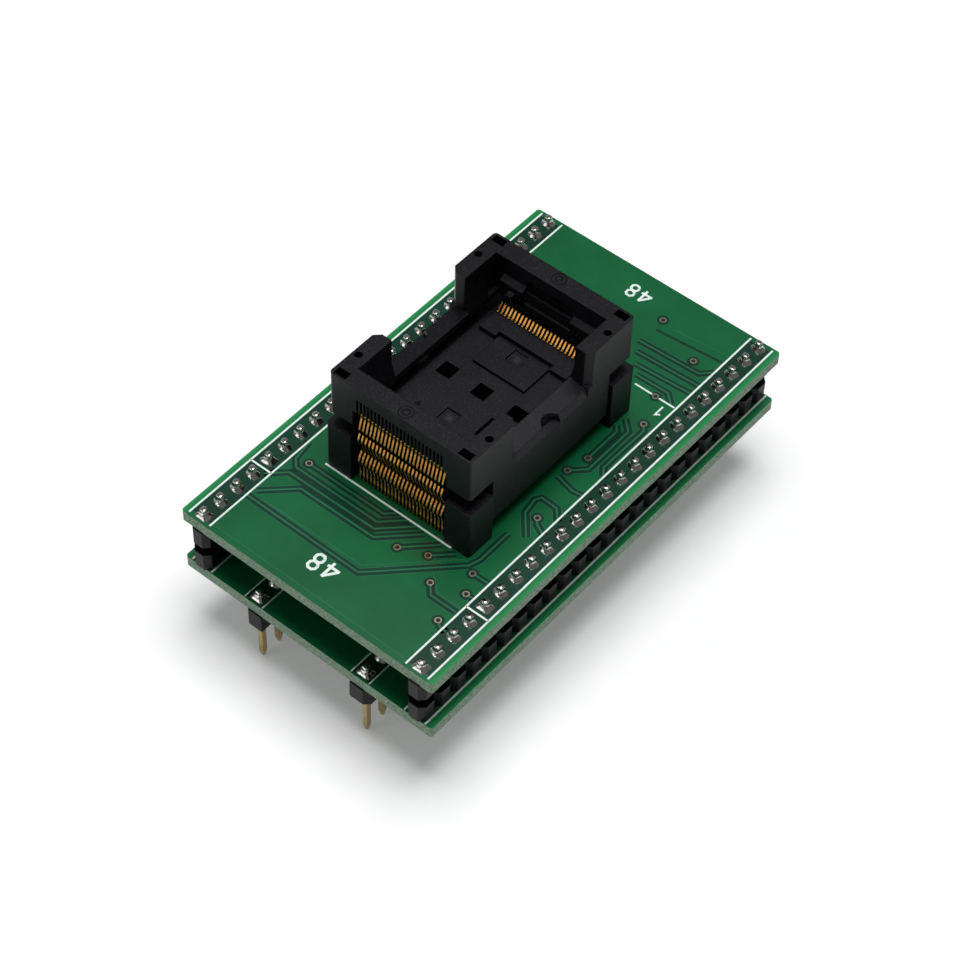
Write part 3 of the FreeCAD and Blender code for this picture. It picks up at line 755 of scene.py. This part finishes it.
# %% Print on the lower board
THIN_LINE = 0.154
OUTER_HALF = 1.42
INNER_GAP = 2.3
LOWER_LINE_END = 0.1
LOWER_GAP_END = 0.3
lower_ink = Layer()
lower_gaps = Layer()
ends = (-BOARD_Y + LOWER_LINE_END, BOARD_Y - LOWER_LINE_END)
for sign in (-1, 1):
    for side in (-1, 1):
        inner = sign * DIP_X + side * PITCH / 2
        outer = sign * (HEADER_X + side * OUTER_HALF)
        for x, width in ((inner, THIN_LINE), (outer, LINE)):
            ribbon(lower_ink, [(x, y) for y in ends], width, LOWER_TOP, INK)
    gap_ends = (-BOARD_Y + LOWER_GAP_END, BOARD_Y - LOWER_GAP_END)
    ribbon(lower_gaps, [(sign * DIP_X, y) for y in gap_ends], INNER_GAP, LOWER_TOP, GAP_LEVEL)
lower_ink.piece("lower_print", SILK, "base_module")
lower_gaps.piece("lower_mask_gaps", MASK_BARE, "base_module")

# %% [markdown]
# Solder wets the whole pad, then climbs the pin in a hollow curve and closes over its end. It
# could be sculpted, but a turned shape is quick and exact: its rings shrink from the pad's oval,
# or rectangle at some pins, to the pin.

# %% A cone of solder
PAD_X = 0.92
PAD_Y = 0.72
NECK = 0.37
SOLDER_RISE = 0.7
FOOT = 0.05
INSET = 0.03
HOLLOW = 2.1
STEPS = 7
# Powers of the rings: an oval, and boxes from soft to firm.
OVAL = 2.0
PIN_BOX = 4.0
CONE_BOX = 8.0
PAD_BOX = 9.0


def solder_cone(layer, x, y, base, up, square, caps, pad_x=PAD_X, pad_y=PAD_Y, neck=NECK):
    """A hollow-sided cone from a pad upwards (1) or downwards (-1), closed by rounded caps."""
    profile = [(pad_x, pad_y, base, PAD_BOX if square else OVAL)]
    for step in range(STEPS + 1):
        share = step / STEPS
        shrink = (1 - share) ** HOLLOW
        a = neck + (pad_x - INSET - neck) * shrink
        b = neck + (pad_y - INSET - neck) * shrink
        boxy = (CONE_BOX - OVAL) * shrink if square else (PIN_BOX - OVAL) * share
        profile.append((a, b, base + up * (FOOT + share * SOLDER_RISE), OVAL + boxy))
    for inset, rise in caps:
        profile.append((neck - inset, neck - inset, base + up * rise, PIN_BOX))
    turned(layer, x, y, profile if up > 0 else profile[::-1])


print("cones rise %.2f mm" % (FOOT + SOLDER_RISE))

# %% [markdown]
# Every pin ends in solder: the upper board's on top, the inner rows' on the lower board, and the
# outer rows' under it. A copy of one cone for each pin would do, but the pads differ in size and
# in shape, so each cone is made for its place. The pad at the near end of every row is a
# rectangle, and on top the fifth one too.

# %% Solder on every pin
UPPER_CAP = ((0.0, 0.95), (0.04, 1.03), (0.12, 1.07))
LOWER_CAP = ((0.0, 1.05), (0.04, 1.13), (0.12, 1.17))
POST_CAP = ((0.0, 1.35), (0.04, 1.43), (0.1, 1.46))
POST_PAD = 0.8
POST_NECK = 0.29
post = (POST_CAP, POST_PAD, POST_PAD, POST_NECK)
joints = Layer()
lower_joints = Layer()
for sign in (-1, 1):
    for index, y in enumerate(pin_rows):
        header, dip = sign * HEADER_X, sign * DIP_X
        solder_cone(joints, header, y, UPPER_TOP, 1, index in (0, 4), UPPER_CAP)
        solder_cone(lower_joints, dip, y, LOWER_TOP, 1, index == 0, LOWER_CAP)
        solder_cone(lower_joints, header, y, LOWER_BOTTOM, -1, index == 0, *post)
joints.piece("upper_solder", SOLDER, "upper_module", smooth=True)
lower_joints.piece("lower_solder", SOLDER, "base_module", smooth=True)

# %% [markdown]
# The contacts are stamped from thin strip: a straight foot, two bulges, a back that leans
# inwards, and an arm that hooks over a lead of the chip. The CAD model has straight stretches
# between the bends. Smoothing that mesh would round its edges too, so the outline is drawn
# again. Each corner is a distance from the socket's middle, a height above the board and the
# reach of its rounding.

# %% The outline of a contact
REACH = high("contacts_far").y - SOCKET_Y
RISE = high("contacts_far").z - UPPER_TOP
OUTLINE = [
    (REACH - 0.35, 0.0, 0.0),
    (REACH - 0.35, 2.6, 0.4),
    (REACH - 0.03, 3.3, 0.25),
    (REACH - 0.3, 4.1, 0.2),
    (REACH - 0.7, 4.75, 0.4),
    (REACH, 6.75, 0.35),
    (REACH - 0.38, 7.8, 0.15),
    (REACH - 0.26, 8.35, 0.15),
    (REACH - 0.68, 9.95, 0.3),
    (REACH - 0.68, RISE, 0.1),
    (REACH - 0.95, RISE, 0.1),
    (REACH - 0.95, 8.4, 0.2),
    (REACH - 2.9, 8.4, 0.2),
    (REACH - 3.3, 9.15, 0.2),
    (REACH - 3.95, 8.3, 0.08),
    (REACH - 4.15, 8.22, 0.03),
    (REACH - 4.15, 8.12, 0.03),
    (REACH - 3.85, 8.12, 0.05),
    (REACH - 3.3, 8.8, 0.15),
    (REACH - 3.075, 8.1, 0.15),
    (REACH - 0.85, 8.1, 0.2),
    (REACH - 0.65, 7.7, 0.1),
    (REACH - 0.33, 6.7, 0.3),
    (REACH - 1.03, 4.75, 0.4),
    (REACH - 0.6, 4.0, 0.2),
    (REACH - 0.36, 3.35, 0.25),
    (REACH - 0.65, 2.6, 0.4),
    (REACH - 0.65, 0.0, 0.0),
]
print("contact outline: %d corners, %.2f mm high" % (len(OUTLINE), RISE))

# %% [markdown]
# Bent metal has no sharp corner. A bevel on the mesh would also work, but it would touch the cut
# edges, which are sharp on the real ones. So each corner of the outline becomes a short curve.

# %% Rounded bends
NEIGHBOUR_SHARE = 0.45


def rounded(corners, steps=4):
    """The outline with each corner replaced by a short curve of the given reach."""
    path = []
    for index, (a, b, radius) in enumerate(corners):
        here = Vector((a, b))
        if radius == 0:
            path.append(here)
            continue
        ends = []
        for neighbour in (corners[index - 1], corners[(index + 1) % len(corners)]):
            way = Vector(neighbour[:2]) - here
            ends.append(here + way.normalized() * min(radius, way.length * NEIGHBOUR_SHARE))
        start, stop = ends
        for step in range(steps + 1):
            t = step / steps
            path.append(start * (1 - t) ** 2 + here * 2 * t * (1 - t) + stop * t**2)
    return path


curve = rounded(OUTLINE)
print("points on the rounded outline:", len(curve))

# %% [markdown]
# Each end of the socket has 24 contacts side by side. An array modifier could repeat one, but
# the rows are written straight into one mesh, like the layers above. They stand in for the rows
# of the CAD model.

# %% Rows of spring contacts
THICK = 0.21
CONTACTS = 24
CONTACT_PITCH = 0.5
for word, end in (("near", -1), ("far", 1)):
    spots = [(SOCKET_Y + end * point.x, UPPER_TOP + point.y) for point in curve]
    blades = Layer()
    for index in range(CONTACTS):
        x = SOCKET_X + (index - (CONTACTS - 1) / 2) * CONTACT_PITCH
        sides = [[(x + side * THICK / 2, y, z) for y, z in spots] for side in (-1, 1)]
        blades.rings(sides if end > 0 else sides[::-1])
    contacts = blades.piece(
        "spring_contacts_" + word, CONTACT_GOLD, "upper_module", smooth=True
    )
    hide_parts("contacts_" + word)

# %% [markdown]
# The contacts are pressed into slots of a wall inside the socket. The slots are too fine to see,
# and only the wall's face, dark with shade, shows between the contacts, so a thin wall behind
# each row stands for it, painted in the moulding's shaded copy. It stays below the pressed lid.

# %% Walls behind the contacts
WALL_HALF = 6.0
WALL_INNER = 12.25
WALL_OUTER = 12.5
WALL_FOOT = 0.1
WALL_HEAD = 8.0
walls = Layer()
for end in (-1, 1):
    front, back = sorted((SOCKET_Y + end * WALL_INNER, SOCKET_Y + end * WALL_OUTER))
    left, right = SOCKET_X - WALL_HALF, SOCKET_X + WALL_HALF
    corners = [(left, front), (right, front), (right, back), (left, back)]
    heights = (UPPER_TOP + WALL_FOOT, UPPER_TOP + WALL_HEAD)
    walls.rings([[(x, y, z) for x, y in corners] for z in heights])
walls.piece("contact_row_painted_shade_walls", SOCKET_PAINTED_SHADE, "upper_module")

# %% [markdown]
# Ejector pins also leave a smooth disc and ring in each of the two square recesses, painted a
# little brighter as their sheen, and a small triangle, dark as painted shade, points at the first
# pin of the chip. They could be drawn in the material like the circles on the lid, but here they
# are wide enough for thin raised shapes.

# %% Marks in the socket
FLOOR_HEIGHT = UPPER_TOP + 7.3
PLATE_HEIGHT = UPPER_TOP + 7.7
RECESS = 0.25
MARK_DISC = (0.42, 0.01)
MARK_RING = (0.62, 0.52, 0.02)
MARK_RISE = 0.02


def flat_ring(layer, x, y, z, outer, inner, thickness, sides=40):
    """A flat ring as a closed band."""
    top = z + thickness
    turn = [2 * math.pi * index / sides for index in range(sides)]
    rings = []
    for radius, height in ((inner, z), (outer, z), (outer, top), (inner, top), (inner, z)):
        rings.append([(x + radius * math.cos(a), y + radius * math.sin(a), height) for a in turn])
    layer.rings(rings, closed_ends=False)


# The discs and rings are painted a little brighter, as their sheen.
ejector_marks = Layer()
for x, y, surface in ((-0.4, -5.0, FLOOR_HEIGHT), (0.0, 5.9, PLATE_HEIGHT)):
    spot = (SOCKET_X + x, SOCKET_Y + y, surface - RECESS)
    disc(ejector_marks, *spot, *MARK_DISC)
    flat_ring(ejector_marks, *spot, *MARK_RING)
ejector_marks.piece("ejector_marks", SOCKET_EJECTOR_SHEEN, "upper_module")
# The triangle is a thin sheet in the moulding's painted-shade copy.
corners = [(SOCKET_X + x, SOCKET_Y + y) for x, y in ((-4.45, -5.95), (-3.75, -5.95), (-4.1, -5.3))]
triangle = Layer()
triangle.rings([[(x, y, FLOOR_HEIGHT + rise) for x, y in corners] for rise in (0.0, MARK_RISE)])
triangle.piece("first_pin_painted_shade_triangle", SOCKET_PAINTED_SHADE, "upper_module")

# %% [markdown]
# The photograph was taken from the front right, well above the board, with a long lens. The
# camera could be placed by eye, but its place, direction and slight roll were worked out from
# where the evenly spaced pads appear in the picture.

# %% Camera
LENS = 100.03
SENSOR = 36.0
NEAREST = 0.01
AZIMUTH = math.radians(38.22)
ELEVATION = math.radians(50.21)
ROLL = math.radians(2.07)
CAMERA_PLACE = Vector((117.94, -151.09, 239.61)) * MM
camera_data = bpy.data.cameras.new("photo_camera")
camera_data.lens = LENS
camera_data.sensor_width = SENSOR
camera_data.clip_start = NEAREST
camera = bpy.data.objects.new("photo_camera", camera_data)
bpy.context.scene.collection.objects.link(camera)
outward = math.cos(ELEVATION)
back = Vector((math.sin(AZIMUTH) * outward, -math.cos(AZIMUTH) * outward, math.sin(ELEVATION)))
level = Vector((0, 0, 1)).cross(back).normalized()
right = level * math.cos(ROLL) + back.cross(level) * math.sin(ROLL)
rotation = Matrix((right, back.cross(right), back)).transposed()
camera.matrix_world = Matrix.Translation(CAMERA_PLACE) @ rotation.to_4x4()
bpy.context.scene.camera = camera
print("camera at", [round(v, 3) for v in CAMERA_PLACE])

# %% [markdown]
# The object stands on white paper. Light strong enough to turn the paper pure white would also
# wash out the object. So the paper is pale, and adds a little glow of its own only in what the
# camera sees directly, in a reflection or through something clear. It keeps the object's shadow.

# %% White paper
FLOOR_GLOW = 0.17
PULP = 4.0
paper, tree, shader, spot = new_material("white_paper_sweep")
pulp = add(tree, "TexNoise", {}, {"Vector": spot, "Scale": 1 / (PULP * MM), "Detail": 3.0})
tone = add(tree, "ValToRGB", {"stops": [(0.3, "f3f3f3"), (0.7, "f7f7f7")]}, {"Fac": pulp})
relief = add(tree, "Bump", {}, {"Height": pulp, "Distance": 0.02 * MM, "Strength": 0.2})
feed(tree, shader, {"Base Color": tone, "Roughness": 0.7, "Normal": relief})
seen = 0.0
for ray in ("Is Camera Ray", "Is Glossy Ray", "Is Transmission Ray"):
    this_ray = add(tree, "LightPath", {}, {}, ray)
    seen = add(tree, "Math", {"operation": "MAXIMUM"}, {0: this_ray, 1: seen})
strength = add(tree, "Math", {"operation": "MULTIPLY"}, {0: seen, 1: FLOOR_GLOW})
glow = add(tree, "Emission", {}, {"Color": srgb("ffffff"), "Strength": strength})
both = add(tree, "AddShader", {}, {0: shader.outputs[0], 1: glow})
feed(tree, tree.nodes["Material Output"], {"Surface": both})
print("paper glow:", FLOOR_GLOW)

# %% [markdown]
# The paper runs out of view on every side. A curved sweep could hide a horizon, but from this
# far above there is none, so one large flat face is enough.

# %% Floor
FLOOR_HALF = 1500
corners = [(-1, -1), (1, -1), (1, 1), (-1, 1)]
floor_mesh = bpy.data.meshes.new("floor")
floor_points = [(x * FLOOR_HALF * MM, y * FLOOR_HALF * MM, 0) for x, y in corners]
floor_mesh.from_pydata(floor_points, [], [[0, 1, 2, 3]])
floor_mesh.materials.append(paper)
floor_object = bpy.data.objects.new("floor", floor_mesh)
bpy.context.scene.collection.objects.link(floor_object)
print("floor", FLOOR_HALF * 2, "mm wide")

# %% [markdown]
# A product photograph is taken under a big soft box. A ring of small lamps could imitate it, but
# one large round lamp overhead is simpler, and lights the object at a plain level, at which a
# colour renders about as it is written. A small dim lamp low in front stands for the pale card
# that gives the bent contacts something to reflect.

# %% Lamps
AIM = Vector((0, 0, 0.015))


def lamp(name, place, size, watts):
    data = bpy.data.lights.new(name, "AREA")
    data.shape = "DISK"
    data.size = size
    data.energy = watts
    item = bpy.data.objects.new(name, data)
    bpy.context.scene.collection.objects.link(item)
    item.location = place
    item.rotation_euler = (AIM - Vector(place)).to_track_quat("-Z", "Y").to_euler()


lamp("sky_panel", (0.0, 0.04, 0.62), 0.4, 3.3)
lamp("front_card", (-0.24, -0.47, 0.22), 0.3, 0.28)

# %% [markdown]
# The room round the table is dim, and darker still towards the photographer, which keeps the
# glossy mask from turning grey. A sky picture would do the same, but two strengths and a
# direction are enough.

# %% Room
AWAY_FROM_CAMERA = (-0.45, 0.45, 0.77)
ROOM_DARK = 0.12
ROOM_BRIGHT = 0.16
world = bpy.data.worlds.new("dim_room")
bpy.context.scene.world = world
world.use_nodes = True
room = world.node_tree
looking = add(room, "TexCoord", {}, {}, "Generated")
dot = {"operation": "DOT_PRODUCT"}
facing = add(room, "VectorMath", dot, {0: looking, 1: AWAY_FROM_CAMERA}, "Value")
levels = {"From Min": -0.2, "From Max": 1.0, "To Min": ROOM_DARK, "To Max": ROOM_BRIGHT}
brightness = add(room, "MapRange", {}, {"Value": facing, **levels})
feed(room, room.nodes["Background"], {"Color": srgb("fbfcff"), "Strength": brightness})
bpy.context.scene.view_settings.view_transform = "Standard"
print("room strength from", ROOM_DARK, "to", ROOM_BRIGHT)
